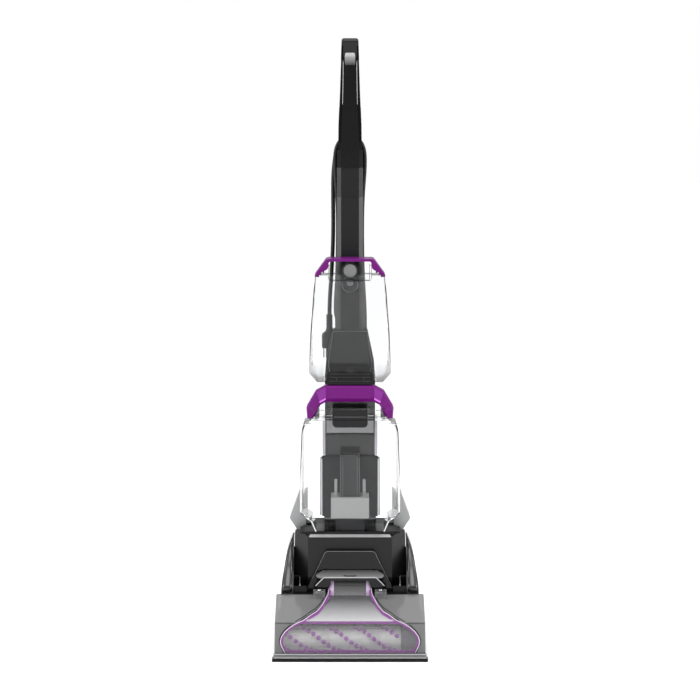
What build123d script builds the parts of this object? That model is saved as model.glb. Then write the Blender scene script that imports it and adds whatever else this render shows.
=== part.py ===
from build123d import *
import os
from math import hypot, radians, tan

# Upright carpet cleaner, millimetres.  X right, front faces -Y, Z up, floor at z = 0.
LIP_HALF = 134.9                                    # half width of the foot's lip
PIVOT_Y, PIVOT_Z, BARREL_R = 45, 120, 58            # recline axis of the upright
BRUSH_Y, BRUSH_Z, BRUSH_R, CORE_R = -124, 30, 26, 20
DRIVE_Y, DRIVE_Z, DRIVE_R = -62, 40, 7              # brush motor shaft and its pulley
WHEEL_Y, WHEEL_R = 100, 48
SHEET = 2.5                                         # thickness of the clear and smoky nozzle walls
COVER = [(-164, 14), (-145, 62), (-55, 94)]         # outer side line of the nozzle window
LENS_CURVE = [(36.5, 110), (38.5, 97), (48, 84), (68, 72.5), (93, 62), (112, 49), (120, 35), (118.5, 27)]
LENS_FOOT = (112, 14)                               # lower outer corner of the lens
TANK_Y, WELL_R, BUTTON_Z = 12, 22, 668              # clean-tank outlet, its well, and the release button
BAIL_Y, BAIL_Z = -33, 413.5                         # hinge line of the recovery tank's carrying bail
LATCH_Y, LATCH_Z = -48.8, 424                       # hinge line of its lid latch
HOOK_TOP, HOOK_LOW, HOOK_R = 870, 585, 22           # cord hooks on the back of the stem
CORD_D, WIND_R, WIND_Y0, WIND_Y1 = 7.5, 27, 85, 148.5
GLAND_Y, GLAND_TOP = 92, 484                        # cord gland on the ledge of the column
TAIL = [(-34.6, 136, 800), (-34.8, 118, 722), (-36.5, 100, 650), (-41, 98, 581.8)]


def box(x0, x1, y0, y1, z0, z1):
    return Pos((x0 + x1) / 2, (y0 + y1) / 2, (z0 + z1) / 2) * Box(x1 - x0, y1 - y0, z1 - z0)


def rod(axis, radius, start, end, u, v):
    """Round bar along one axis; u and v are its other two coordinates."""
    middle, length = (start + end) / 2, end - start
    if axis == "x":
        return Pos(middle, u, v) * Rot(0, 90, 0) * Cylinder(radius, length)
    if axis == "y":
        return Pos(u, middle, v) * Rot(90, 0, 0) * Cylinder(radius, length)
    return Pos(u, v, middle) * Cylinder(radius, length)


def outline(points, radius):
    if radius:
        return make_face(FilletPolyline(*points, radius=radius, close=True))
    return make_face(Polyline(*points, close=True))


def side(points, x0, x1, radius=0):
    """A (y, z) outline run along X."""
    return extrude(Plane.YZ.offset(x0) * outline(points, radius), amount=x1 - x0)


def front(points, y0, y1, radius=0):
    """An (x, z) outline run along Y."""
    return extrude(Plane.XZ.offset(-y1) * outline(points, radius), amount=y1 - y0)


def plan(points, z0, z1, radius=0):
    """An (x, y) outline run along Z."""
    return extrude(Plane.XY.offset(z0) * outline(points, radius), amount=z1 - z0)


def mirrored(half):
    """A right-hand outline, top to bottom, closed by its mirror image."""
    return list(half) + [(-x, z) for x, z in reversed(half)]


def inset(line, t):
    """An open line moved sideways by t, its ends kept square to the end runs."""
    moved = []
    for i, (y, z) in enumerate(line):
        normals = []
        for a, b in ((i - 1, i), (i, i + 1)):
            if a >= 0 and b < len(line):
                dy, dz = line[b][0] - line[a][0], line[b][1] - line[a][1]
                normals.append((dz / hypot(dy, dz), -dy / hypot(dy, dz)))
        ny, nz = sum(n[0] for n in normals), sum(n[1] for n in normals)
        scale = len(normals) / (ny * ny + nz * nz) if len(normals) == 2 else 1
        moved.append((y + ny * t * scale, z + nz * t * scale))
    return moved


def two_wheel_hull(r_brush, r_drive, x0, x1):
    """The outline round both belt pulleys, grown to the given radii, run along X."""
    rings = [Pos(BRUSH_Y, BRUSH_Z) * Circle(r_brush), Pos(DRIVE_Y, DRIVE_Z) * Circle(r_drive)]
    hull = make_hull([edge for ring in rings for edge in ring.edges()])
    return extrude(Plane.YZ.offset(x0) * hull, amount=x1 - x0)


def both_sides(make):
    return make(-1) + make(1)


# ---------------------------------------------------------------- foot

def foot_pan():
    pan = side([(-93, 8), (-93, 74), (-57, 87.5), (-52, 92), (-18.5, 92), (-18.5, 56), (112, 56), (112, 8)],
               -98, 98)
    pan -= side([(-90, 7), (-90, 72), (-56, 84.5), (-51, 89), (-21.5, 89), (-21.5, 53), (109, 53), (109, 7)],
                -95, 95)
    pan -= two_wheel_hull(23, 16, 88, 99)
    pan += both_sides(lambda s: box(34 * s - 3, 34 * s + 3, 112, 125, 48, 62))
    pan += rod("x", 3, -37, 37, 118, 56)
    return pan - rod("x", 4, -99, 99, WHEEL_Y, WHEEL_R)


def base_plate():
    return box(-98, 98, -93, 112, 5, 8)


def brush_housing():
    cheek = [(-160, 2), (-160, 11.5), (-158, 15), (-140.5, 57), (-93, 74), (-93, 8), (-98, 2)]
    body = side([(-140.5, 57), (-93, 74), (-93, 71), (-140.5, 54)], -127.5, 127.5)
    body += box(-127.5, 127.5, -96, -93, 8, 73.5)
    body += side(cheek, 121, 127.5) + side(cheek, -127.5, -121)
    body += side([(-175, 2), (-174, 5.4), (-158, 5.4), (-158, 2), (-163, 0), (-173, 0)], -LIP_HALF, LIP_HALF)
    body -= rod("x", 5.06, -125, 125, BRUSH_Y, BRUSH_Z)
    return body - two_wheel_hull(23, 16, 88, 121)


def belt_cover():
    cover = two_wheel_hull(22, 15, 89.5, 117) - two_wheel_hull(20, 13, 91.5, 118)
    cover -= rod("x", 9, 88, 93, BRUSH_Y, BRUSH_Z)
    return cover - rod("x", 5, 88, 93, DRIVE_Y, DRIVE_Z)


def belt():
    return two_wheel_hull(15.5, DRIVE_R + 1.5, 100, 108) - two_wheel_hull(14.06, DRIVE_R + 0.06, 99, 109)


def brush_motor():
    can = rod("x", 20, 5, 85, DRIVE_Y, DRIVE_Z) + box(10, 80, DRIVE_Y - 12, DRIVE_Y + 12, 8, 24)
    return can - rod("x", 3.06, 68, 86, DRIVE_Y, DRIVE_Z)


def brush_motor_shaft():
    shaft = rod("x", 3, 69, 112, DRIVE_Y, DRIVE_Z) + rod("x", DRIVE_R, 99.5, 108.5, DRIVE_Y, DRIVE_Z)
    return shaft + rod("x", DRIVE_R + 1, 98, 99.4, DRIVE_Y, DRIVE_Z)


def brush_core():
    return rod("x", CORE_R, -116.5, 88.7, BRUSH_Y, BRUSH_Z) + rod("x", 5, -124, 124, BRUSH_Y, BRUSH_Z)


def brush_bristles():
    """Slanted rows of tufts standing on the core."""
    rows = Part()
    for i in range(9):
        row = Rot(0, 0, 28) * Rot(0, 90, 0) * Cylinder(60, 5)
        rows += Pos(-104 + i * 22.5, BRUSH_Y, BRUSH_Z) * row
    sleeve = rod("x", BRUSH_R, -116, 88, BRUSH_Y, BRUSH_Z) - rod("x", CORE_R, -117, 89, BRUSH_Y, BRUSH_Z)
    return rows & sleeve


def brush_pulley():
    wheel = rod("x", 14, 99.5, 108.5, BRUSH_Y, BRUSH_Z) + rod("x", 16.5, 97.5, 99.5, BRUSH_Y, BRUSH_Z)
    return wheel - rod("x", 5, 90, 112, BRUSH_Y, BRUSH_Z)


def spray_bar():
    bar = rod("x", 4, -121, 88, -102, 61)
    return bar + both_sides(lambda s: box(44 * s - 5, 44 * s + 5, -104, -98, 53, 61))


def fender(s):
    """Arm beside the hood: arched seen from the side, and leaning in towards its top."""
    arch = Spline((-54.4, 88.5), (-47, 104), (-30, 122), (-8, 156), (15, 179), (45, 188), (72, 181),
                  (94, 156), (104, 120))
    arch += Polyline((104, 120), (104, 60), (60, 8), (-93, 8), (-93, 74), (-57, 87.5), (-54.4, 88.5))
    lean = Spline((122.5, 97.5), (121.4, 115), (117.4, 138), (113, 162), (107.5, 178), (101, 191))
    lean += Polyline((101, 191), (101, 0), (122.5, 0), (122.5, 97.5))
    arch_run = extrude(Plane.YZ.offset(84) * make_face(arch.edges()), amount=40)
    body = arch_run & extrude(Plane.XZ.offset(-106) * make_face(lean.edges()), amount=204)
    body += side([(-93, 8), (-93, 74), (-57, 87.5), (-54.4, 88.5), (-52, 92), (-20, 92), (-20, 56), (60, 56),
                  (60, 8)], 98, 101.5)
    body += arch_run & side([(5, 94), (5, 117), (50, 117), (98, 155), (104, 155), (104, 94)], 91, 101.5)
    body -= rod("x", 52, 90, 124, WHEEL_Y, WHEEL_R)
    body -= rod("x", 10.1, 90, 113, PIVOT_Y, PIVOT_Z)
    if s > 0:
        return body - two_wheel_hull(23, 16, 88, 118)
    return mirror(body, about=Plane.YZ)


def spine_cover():
    """Trapezoid cover in front of the hood, with the suction neck and the latch hinge."""
    body = front(mirrored([(43, 168), (76, 97.5), (76, 92)]), -28, -18.5)
    body += box(-36, 36, -44.5, -28, 92, 109)
    body -= box(-33, 33, -45, -18, 95, 106)
    body += both_sides(lambda s: box(43.5 * s - 2.5, 43.5 * s + 2.5, -34, -28, 127, 134))
    return body + rod("x", 1.5, -46, 46, -31.5, 130.5)


def axle():
    return rod("x", 4, -121, 121, WHEEL_Y, WHEEL_R)


def base_screws():
    return Part() + [rod("z", 3, 2.5, 5, x, y) for x in (-88, 88) for y in (-80, 15, 98)]


# ---------------------------------------------------------------- nozzle cover and latch

def lens_shape(grow=0):
    """The bell outline of the lens, seen from the front, grown all round and run along Y."""
    *curve, foot = inset(LENS_CURVE + [LENS_FOOT], -grow)
    right = Spline(*curve)
    (x0, z0), (x1, z1), (foot_x, foot_z) = curve[0], curve[-1], foot
    edges = [right, mirror(right, about=Plane.YZ), Line((-x0, z0), (x0, z0)), Line((x1, z1), foot),
             Line((-x1, z1), (-foot_x, foot_z)), Line((-foot_x, foot_z), foot)]
    return extrude(Plane.XZ.offset(40) * make_face(edges), amount=140)


def nozzle_window():
    """Smoky window: the bent sheet beside the lens, with its two side walls and screw bosses."""
    window = side(COVER + inset(COVER, SHEET)[::-1], -131, 131)
    wall = COVER + [(-55, 80), (-140, 40), (-152, 14)]
    window += side(wall, 128.5, 131.5) + side(wall, -131.5, -128.5)
    boss = side([(-70, 88.6), (-70, 101), (-58, 104), (-58, 93)], 44, 64.8)
    window = window + boss + mirror(boss, about=Plane.YZ) - lens_shape()
    window += side([(-174.6, 6), (-173.4, 13.6), (-169, 13.6), (-169, 11.4), (-171.6, 11.4), (-171.9, 6)],
                   -132.5, 132.5)
    return window + both_sides(lambda s: box(122 * s - 9, 122 * s + 9, -169.5, -161.5, 11.4, 14.6))


def lens_block():
    line = [(-170, 14), (-151, 66), (-62, 100), (-45, 107), (-45, 97), (-55, 94)]
    inner = inset(COVER, SHEET)
    return side(line + inner[::-1], -124, 124) & lens_shape()


def nozzle_lens():
    """Clear suction channel, open along the lip and at its neck."""
    hollow = side([(-168.2, 13), (-149.2, 64.1), (-61.5, 97.7), (-44, 105.1), (-44, 99.3), (-55.5, 95.8),
                   (-57, 93.3), (-145, 62), (-164.4, 13)], -124, 124)
    lens = lens_block() - (hollow & lens_shape(-2))
    return lens - (hollow & box(-110, 110, -180, -40, 12, 18))


def nozzle_seal():
    """Seal band round the lens and across the bend of the window."""
    skin = side(COVER + inset(COVER, -1.6)[::-1], -124, 124)
    band = skin & lens_shape(2.5)
    band += skin & box(-124, 124, -149, -142, 58, 70)
    band -= box(-130, 130, -180, -40, 0, 14.8)
    band -= box(-130, 130, -57, -40, 80, 120)
    band -= lens_shape()
    return band - both_sides(lambda s: box(54.4 * s - 10.5, 54.4 * s + 10.5, -71, -55, 80, 110))


def nozzle_latch():
    plate = side([(-58, 110.2), (-58, 114.2), (-31.5, 133), (-31.5, 128)], -61, 61)
    plate &= plan([(-52, -58), (52, -58), (60.5, -50), (48.4, -31.5), (-48.4, -31.5), (-60.5, -50)], 100, 140)
    plate += rod("x", 2.8, -40, 40, -31.5, 130.5)
    plate -= both_sides(lambda s: box(44 * s - 4, 44 * s + 4.6, -36, -28, 120, 140))
    return plate - rod("x", 1.6, -60, 60, -31.5, 130.5)


def wheel(s):
    disc = rod("x", WHEEL_R, 101, 117, WHEEL_Y, WHEEL_R)
    disc -= rod("x", 38, 111, 118, WHEEL_Y, WHEEL_R) - rod("x", 12, 110, 119, WHEEL_Y, WHEEL_R)
    disc = disc - rod("x", 4.05, 100, 120, WHEEL_Y, WHEEL_R)
    return disc if s > 0 else mirror(disc, about=Plane.YZ)


def tyre_ring(s):
    ring = rod("x", WHEEL_R, 103, 115, WHEEL_Y, WHEEL_R) - rod("x", 44, 100, 119, WHEEL_Y, WHEEL_R)
    return ring if s > 0 else mirror(ring, about=Plane.YZ)


def recline_pedal():
    pedal = side([(116, 50), (116, 60), (150, 61), (175, 57), (175, 53), (150, 50)], -30, 30)
    return pedal + rod("x", 5.5, -30, 30, 118, 56) - rod("x", 3.06, -31, 31, 118, 56)


# ---------------------------------------------------------------- upright, lower half

def lower_body():
    """Barrel that turns between the fenders, and the box the recovery tank stands on."""
    body = Part()
    for half, radius in ((76, BARREL_R), (90, BARREL_R - 15)):
        y0 = PIVOT_Y - radius
        body += rod("x", radius, -half, half, PIVOT_Y, PIVOT_Z) + box(-half, half, y0, 100, PIVOT_Z, 196)
    for half, radius in ((73, BARREL_R - 3), (87, BARREL_R - 18)):
        y0 = PIVOT_Y - radius
        body -= rod("x", radius, -half, half, PIVOT_Y, PIVOT_Z) + box(-half, half, y0, 97, PIVOT_Z, 193)
    body += box(-85, 85, -12, 56, 196, 200)
    body += both_sides(lambda s: rod("x", 10, 101 * s - 11.5, 101 * s + 11, PIVOT_Y, PIVOT_Z))
    return body - box(-15, 15, 0, 25, 190, 201)


def hood():
    shape = front(mirrored([(99.2, 195), (100.4, 125), (92, 118)]), -17, 40)
    shape &= plan([(-75.3, -17), (75.3, -17), (100.4, 6), (100.4, 40), (-100.4, 40), (-100.4, 6)], 110, 200)
    shape &= side([(-17, 110), (-17, 190.5), (-12.5, 195), (41, 195), (41, 110)], -101, 101)
    shape -= box(-76, 76, PIVOT_Y - BARREL_R, 60, 100, 200) + box(-90, 90, 2, 60, 100, 200)
    return shape - both_sides(lambda s: rod("x", 10, 100 * s - 12, 100 * s + 12, PIVOT_Y, PIVOT_Z))


def motor_cover():
    shell = side([(57, 196), (150, 196), (150, 245), (118, 262), (57, 262)], -47, 47)
    shell += box(-80, 80, 57, 112, 196, 204)
    shell -= side([(60, 199), (147, 199), (147, 243.5), (117, 259), (60, 259)], -44, 44)
    shell -= box(-77, 77, 60, 109, 199, 201)
    return shell - box(-12.5, 12.5, 142, 151, 211, 233)


def wing(s):
    body = front([(80, 197), (90.5, 197), (90.5, 190), (95.6, 190), (110, 212), (93.6, 257), (80, 262)],
                 58, 115)
    body -= front([(82.5, 200), (94, 200), (106.5, 212.5), (91.5, 253), (82.5, 257)], 61, 112)
    body -= box(79, 83, 64, 109, 200, 216)
    return body if s > 0 else mirror(body, about=Plane.YZ)


def column():
    """Spine behind the recovery tank and the block that carries the stem."""
    spine = side([(57, 262), (118, 262), (104, 330), (98, 430), (106, 445), (106, 470), (57, 470)],
                 -45.5, 45.5)
    spine -= side([(60, 261), (114, 261), (101, 330), (95, 430), (103, 446), (103, 467), (60, 467)],
                  -42.5, 42.5)
    block = front(mirrored([(31.4, 558), (43.1, 502), (45.5, 470)]), 42, 85)
    block -= front(mirrored([(28.4, 559), (40, 502), (42.5, 473)]), 45, 82)
    return spine + block + rod("z", 6, 470, GLAND_TOP, WIND_R, GLAND_Y)


def suction_motor():
    motor = rod("x", 24, 2, 42, 104, 229) + rod("x", 29, -42, 2, 104, 229)
    motor -= rod("x", 27.5, -40, -12, 104, 229) + rod("x", 8, -43, -39, 104, 229)
    return motor - rod("x", 3.06, -13, 24, 104, 229)


def impeller():
    hub = rod("x", 26, -38, -35, 104, 229) + rod("x", 9, -38, -14, 104, 229) + rod("x", 3, -14, 22, 104, 229)
    for i in range(8):
        hub += Pos(-26, 104, 229) * Rot(45 * i, 0, 0) * box(-9.5, 10, -1, 1, 8, 25)
    return hub


def pump():
    return box(-30, 30, 20, 70, 150, 185) + rod("z", 5, 185, 192.9, 22, 62)


def power_switch():
    rocker = side([(144, 214), (151.5, 213.5), (150.3, 222), (151.5, 230.5), (144, 230)], -12, 12)
    return rocker


def cord_lead():
    return rod("z", CORD_D / 2, GLAND_TOP, 575, WIND_R, GLAND_Y) - cord_winding()


def stadium(radius):
    rounds = [Pos(0, z) * Circle(radius) for z in (HOOK_TOP, HOOK_LOW)]
    hull = make_hull([edge for ring in rounds for edge in ring.edges()])
    return extrude(Plane.XZ.offset(-WIND_Y1) * hull, amount=WIND_Y1 - WIND_Y0)


def cord_winding():
    return stadium(WIND_R + CORD_D / 2) - stadium(WIND_R - CORD_D / 2)


def tail_turns():
    """(shorter run, angle turned) at each inner point of the tail's route."""
    points = [Vector(*p) for p in TAIL]
    runs = [b - a for a, b in zip(points, points[1:])]
    return [(min(a.length, b.length), radians(a.get_angle(b))) for a, b in zip(runs, runs[1:])]


def cord_tail():
    path = FilletPolyline(*TAIL, radius=[0.45 * run / tan(turn / 2) for run, turn in tail_turns()])
    start = Plane(origin=TAIL[0], z_dir=Vector(*TAIL[1]) - Vector(*TAIL[0]))
    return sweep(start * Circle(CORD_D / 2), path=path)


def cord_plug():
    plug = loft([Pos(-41, 98, 581.5) * RectangleRounded(11, 11, 4),
                 Pos(-41, 98, 560) * RectangleRounded(17, 15, 5)])
    plug += Pos(-41, 98, 541) * extrude(RectangleRounded(21, 19, 5), amount=19)
    plug += Pos(-41, 98, 520) * extrude(RectangleRounded(23, 21, 5), amount=21)
    plug += box(-48, -46.5, 97, 103, 503, 520) + box(-36, -34.5, 97, 103, 503, 520)
    return plug + rod("z", 2.4, 501, 520, -41, 92)


# ---------------------------------------------------------------- recovery tank

def tank_solid(half, profile, y0, y1, top, corner):
    solid = front(mirrored(half), y0, y1) & side(profile, -95, 95)
    width = max(x for x, z in half)
    middle = (y0 + y1) / 2
    return solid & (Pos(0, middle, 190) * extrude(RectangleRounded(2 * width, y1 - y0, corner), amount=top))


def dirty_tank_shell():
    outer = tank_solid([(72, 404), (72, 400), (82, 396), (86, 382), (89.7, 291), (89.8, 236), (70, 224),
                        (62, 201)],
                       [(-20, 201), (-45, 228), (-45, 404), (55, 404), (55, 201)], -45, 55, 300, 24)
    inner = tank_solid([(69.5, 405), (69.5, 397.8), (79.8, 393.8), (83.5, 381.5), (87.2, 291), (87.3, 237.5),
                        (68, 225.5), (60.5, 203.5)],
                       [(-19, 203.5), (-42.5, 229), (-42.5, 405), (52.5, 405), (52.5, 203.5)],
                       -42.5, 52.5, 300, 21.5)
    return outer - inner - box(-15.9, 15.9, -6, 26, 200, 204)


def inlet_stack():
    stack = box(-17.9, 17.9, -8, 28, 203.5, 337) + box(-26, 26, -14, 34, 203.5, 224.5)
    return stack - box(-15.9, 15.9, -6, 26, 203, 338)


def tank_float():
    body = box(-34, 34, -22, 42, 225, 262) - box(-19, 19, -9.2, 29.2, 224, 263)
    return body + both_sides(lambda s: box(25.5 * s - 2.6, 25.5 * s + 2.6, 5, 15, 262, 291))


def tank_lid():
    lid = Pos(0, 5, 404) * extrude(RectangleRounded(143, 98, 20), amount=4)
    lid += Pos(0, 21, 408) * extrude(RectangleRounded(132, 64, 12), amount=29)
    lid -= Pos(0, 21, 403) * extrude(RectangleRounded(126, 58, 10), amount=31)
    lid -= both_sides(lambda s: box(68.5 * s - 11.5, 68.5 * s + 11.5, -45, -22, 406, 409))
    lid += box(-30, 30, -43.5, -38, 408, 426)
    lid += both_sides(lambda s: box(33.8 * s - 1.3, 33.8 * s + 1.3, -50.4, -40, 408, 427))
    lid += both_sides(lambda s: box(31.5 * s - 1.5, 31.5 * s + 1.5, -43, -38, 408, 426))
    lid += both_sides(lambda s: box(51 * s - 5, 51 * s + 5, BAIL_Y - 6, BAIL_Y + 6, 408, 421))
    lid += both_sides(lambda s: rod("x", 4, 60 * s - 10, 60 * s + 10, BAIL_Y, BAIL_Z))
    return lid + rod("x", 1.5, -35, 35, LATCH_Y, LATCH_Z)


def lid_latch():
    latch = side([(-50.6, 392), (-50.6, 425.5), (-49.6, 427), (-47.6, 427), (-46.8, 425), (-46.4, 392)],
                 -31.9, 31.9)
    return latch - rod("x", 1.6, -33, 33, LATCH_Y, LATCH_Z)


def bail():
    """Carrying bail: faceted bar over two arms that taper down to the pins of the lid."""
    shape = [(42.7, 466.5), (60.7, 456.8), (75.9, 431), (77.5, 427), (76, 405), (66, 405), (57.5, 415),
             (57.5, 425), (52.5, 431.5), (43, 437.5)]
    bar = front(mirrored(shape), -45, -17)
    swing = side([(-41, 467), (-21, 467), (-18, 461), (-18, 440), (BAIL_Y + 7, 426), (BAIL_Y + 7, BAIL_Z),
                  (BAIL_Y - 7, BAIL_Z), (BAIL_Y - 7, 426), (-44, 440), (-44, 458)], -81, 81)
    swing += rod("x", 7, -81, 81, BAIL_Y, BAIL_Z)
    return (bar & swing) - both_sides(lambda s: rod("x", 4.06, 64 * s - 8, 64 * s + 8, BAIL_Y, BAIL_Z))


# ---------------------------------------------------------------- clean tank

def clean_solid(half, y0, y1, corner, top):
    width = max(x for x, z in half)
    slab = Pos(0, (y0 + y1) / 2, 460) * extrude(RectangleRounded(2 * width, y1 - y0, corner), amount=top)
    return front(mirrored(half), y0, y1) & slab


def clean_tank_shell():
    outer = clean_solid([(62.3, 661), (70, 556), (72, 505), (72.3, 487), (58, 472)], -40, 40, 18, 300)
    inner = clean_solid([(60, 658.5), (67.5, 556), (69.5, 505), (69.7, 488), (57, 474.5)],
                        -37.5, 37.5, 15.5, 300)
    inner -= box(-38.7, 38.7, -41, -2.4, 649.3, 700)
    shell = outer - box(-36.2, 36.2, -41, -4.9, 651.8, 700) - inner - rod("z", 14, 471, 475, 0, TANK_Y)
    return shell + both_sides(lambda s: box(37.45 * s - 1.25, 37.45 * s + 1.25, -38, -5, 651, 678))


def clean_tank_handle():
    """Coloured arch over the clean tank's finger pocket, with the ring of the release button."""
    body = clean_solid([(35.5, 690), (62.3, 662), (62.3, 661)], -39, 39, 17, 300)
    body -= front(mirrored([(33, 686), (54, 660)]), -5, 35) + box(-39, 39, -41, -4.9, 650, 683)
    body -= front(mirrored([(38, 683), (50.5, 664), (50.5, 655)]), -41, -4.9)
    ring = rod("y", 15.5, -11.5, -5.1, 0, BUTTON_Z) + box(-5, 5, -11.5, -5.1, 682, 685)
    return body + (ring & box(-20, 20, -12, -5, 640, 686)) - rod("y", 12, -13, -4.5, 0, BUTTON_Z)


def release_button():
    return rod("y", 11.4, -15, -9.4, 0, BUTTON_Z)


def fill_cap():
    cap = rod("z", 20, 458, 471.9, 0, TANK_Y) + rod("z", 13.9, 471.9, 480, 0, TANK_Y)
    return cap - rod("z", 4.06, 457, 481, 0, TANK_Y)


def valve_plunger():
    return rod("z", 4, 453.5, 480.5, 0, TANK_Y) + rod("z", 8, 480.2, 484, 0, TANK_Y)


def tank_seat():
    seat = plan([(-41, -16), (41, -16), (41, 57), (-41, 57)], 440, 470, [6, 6, 0.5, 0.5])
    return seat - rod("z", WELL_R, 450, 471, 0, TANK_Y) - rod("z", 4.5, 439, 451, 0, TANK_Y)


# ---------------------------------------------------------------- stem and handle

STEM_PLAN = [(-16.1, 42), (16.1, 42), (27, 51), (27, 80), (-27, 80), (-27, 51)]


def stem_tube(half, z0, z1):
    tube = front(mirrored(half), 42, 80) & plan(STEM_PLAN, z0, z1)
    return tube - box(-18, 18, 50, 76, z0 - 1, z1 + 1)


def stem_lower():
    return stem_tube([(23.3, 797), (23.3, 700), (27, 640), (27, 558)], 558, 797)


def stem_upper():
    return stem_tube([(23.3, 849), (23.3, 797)], 797, 849)


def collar():
    """Collar on the stem with the post of the upper cord hook."""
    body = plan([(-17, 40.5), (17, 40.5), (23.2, 48), (23.2, 84), (-23.2, 84), (-23.2, 48)], 849, 881)
    body -= box(-18, 18, 50, 76, 848, 882)
    post = rod("y", HOOK_R, 84, WIND_Y1 + 0.5, 0, HOOK_TOP)
    post -= rod("y", HOOK_R - 3, 87, WIND_Y1 - 5, 0, HOOK_TOP)
    return body + post - rod("y", 5.06, 130, WIND_Y1 + 2, 0, HOOK_TOP)


def cord_hook_tab():
    tab = front([(-20, 870), (-14, 920), (14, 920), (20, 870), (14, 852), (-14, 852)],
                WIND_Y1 + 1, WIND_Y1 + 6.5, 5)
    return tab + rod("y", 5, 134, WIND_Y1 + 2, 0, HOOK_TOP)


def lower_hook():
    post = rod("y", HOOK_R, 80, WIND_Y1 + 0.5, 0, HOOK_LOW)
    post -= rod("y", HOOK_R - 3, 83, WIND_Y1 - 3, 0, HOOK_LOW)
    return post + front([(-20, 600), (20, 600), (14, 540), (-14, 540)], WIND_Y1 + 0.5, WIND_Y1 + 5.5, 5)


def handle_solid():
    outer = [(40, 881), (31, 950), (28, 1045), (44, 1074), (62, 1080), (98, 1080), (120, 1052), (120, 1010),
             (102, 945), (82, 905), (82, 881)]
    hole = [(55, 908), (48, 955), (46, 1038), (58, 1057), (90, 1056), (99, 1037), (98, 1003), (86, 950),
            (70, 912)]
    loop = side(outer, -23, 23, [0.5, 60, 20, 10, 14, 14, 14, 20, 12, 8, 0.5])
    loop -= side(hole, -24, 24, [6, 40, 8, 8, 8, 8, 20, 40, 6])
    loop &= front(mirrored([(11.5, 1080.5), (15, 1077), (16, 1050), (18, 987), (20.7, 925), (21.2, 880)]), 0, 130)
    front_arm = front(mirrored([(12, 1085), (12.3, 1040), (13.2, 960), (16, 905), (16.6, 880)]), -1, 49)
    return loop - (box(-30, 30, 0, 48, 895, 1066) - front_arm)


def grip_region():
    return box(-50, 50, 109, 130, 925, 1062)


def handle_loop():
    loop = handle_solid() - grip_region() - box(-7, 7, 82, 108, 978, 1041)
    return loop - rod("z", 3.3, 880, 898, 0, 64)


def handle_grip():
    return handle_solid() & grip_region()


def trigger():
    lever = side([(97, 1038), (90, 1030), (84, 986), (94, 983), (104, 1028), (104, 1036)], -6, 6, 2)
    return lever


def push_rod():
    return rod("z", 3, 600, 892, 0, 64)


NODES = {
    "foot_pan": foot_pan, "base_plate": base_plate, "brush_housing": brush_housing,
    "belt_cover": belt_cover, "drive_belt": belt, "brush_motor": brush_motor,
    "brush_motor_shaft": brush_motor_shaft, "brush_core": brush_core, "brush_bristles": brush_bristles,
    "brush_pulley": brush_pulley, "spray_bar": spray_bar,
    "fender_left": lambda: fender(-1), "fender_right": lambda: fender(1), "spine_cover": spine_cover,
    "wheel_axle": axle, "base_screws": base_screws,
    "nozzle_window": nozzle_window, "nozzle_lens": nozzle_lens, "nozzle_seal": nozzle_seal,
    "nozzle_latch": nozzle_latch,
    "wheel_left": lambda: wheel(-1) - tyre_ring(-1), "wheel_right": lambda: wheel(1) - tyre_ring(1),
    "tyre_left": lambda: tyre_ring(-1), "tyre_right": lambda: tyre_ring(1),
    "recline_pedal": recline_pedal,
    "lower_body": lower_body, "hood": hood, "motor_cover": motor_cover,
    "wing_left": lambda: wing(-1), "wing_right": lambda: wing(1), "column": column,
    "suction_motor": suction_motor, "impeller": impeller, "pump": pump, "power_switch": power_switch,
    "dirty_tank_shell": dirty_tank_shell, "inlet_stack": inlet_stack, "tank_float": tank_float,
    "tank_lid": tank_lid, "lid_latch": lid_latch, "tank_bail": bail,
    "clean_tank_shell": clean_tank_shell, "clean_tank_handle": clean_tank_handle,
    "release_button": release_button, "fill_cap": fill_cap, "valve_plunger": valve_plunger,
    "tank_seat": tank_seat, "stem_lower": stem_lower, "stem_upper": stem_upper, "collar": collar,
    "cord_hook_tab": cord_hook_tab, "lower_hook": lower_hook, "handle_loop": handle_loop,
    "handle_grip": handle_grip, "trigger": trigger, "push_rod": push_rod,
    "cord_lead": cord_lead, "cord_winding": cord_winding, "cord_tail": cord_tail,
    "cord_plug": cord_plug,
}

os.makedirs("parts", exist_ok=True)
for name, make in NODES.items():
    export_step(make(), f"parts/{name}.step")
print(len(NODES), "nodes")
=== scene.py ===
import bpy
import bmesh
from math import cos, pi, radians, sin
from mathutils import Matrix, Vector
from mathutils.bvhtree import BVHTree


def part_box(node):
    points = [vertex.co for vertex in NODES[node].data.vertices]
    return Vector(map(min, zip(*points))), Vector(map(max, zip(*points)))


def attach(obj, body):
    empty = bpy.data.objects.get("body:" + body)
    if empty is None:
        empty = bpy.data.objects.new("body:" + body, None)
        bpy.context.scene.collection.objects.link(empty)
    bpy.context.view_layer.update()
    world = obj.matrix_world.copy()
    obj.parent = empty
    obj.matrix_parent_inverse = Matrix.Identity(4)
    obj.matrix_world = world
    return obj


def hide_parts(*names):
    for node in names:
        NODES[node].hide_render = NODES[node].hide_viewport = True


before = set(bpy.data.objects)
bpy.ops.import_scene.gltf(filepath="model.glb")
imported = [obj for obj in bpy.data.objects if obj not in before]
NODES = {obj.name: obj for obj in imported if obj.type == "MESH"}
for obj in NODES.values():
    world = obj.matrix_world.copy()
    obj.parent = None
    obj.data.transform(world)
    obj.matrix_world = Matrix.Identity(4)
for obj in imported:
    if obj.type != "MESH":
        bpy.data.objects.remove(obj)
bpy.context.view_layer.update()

MM = 0.001


# ---------------------------------------------------------------- materials

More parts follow.
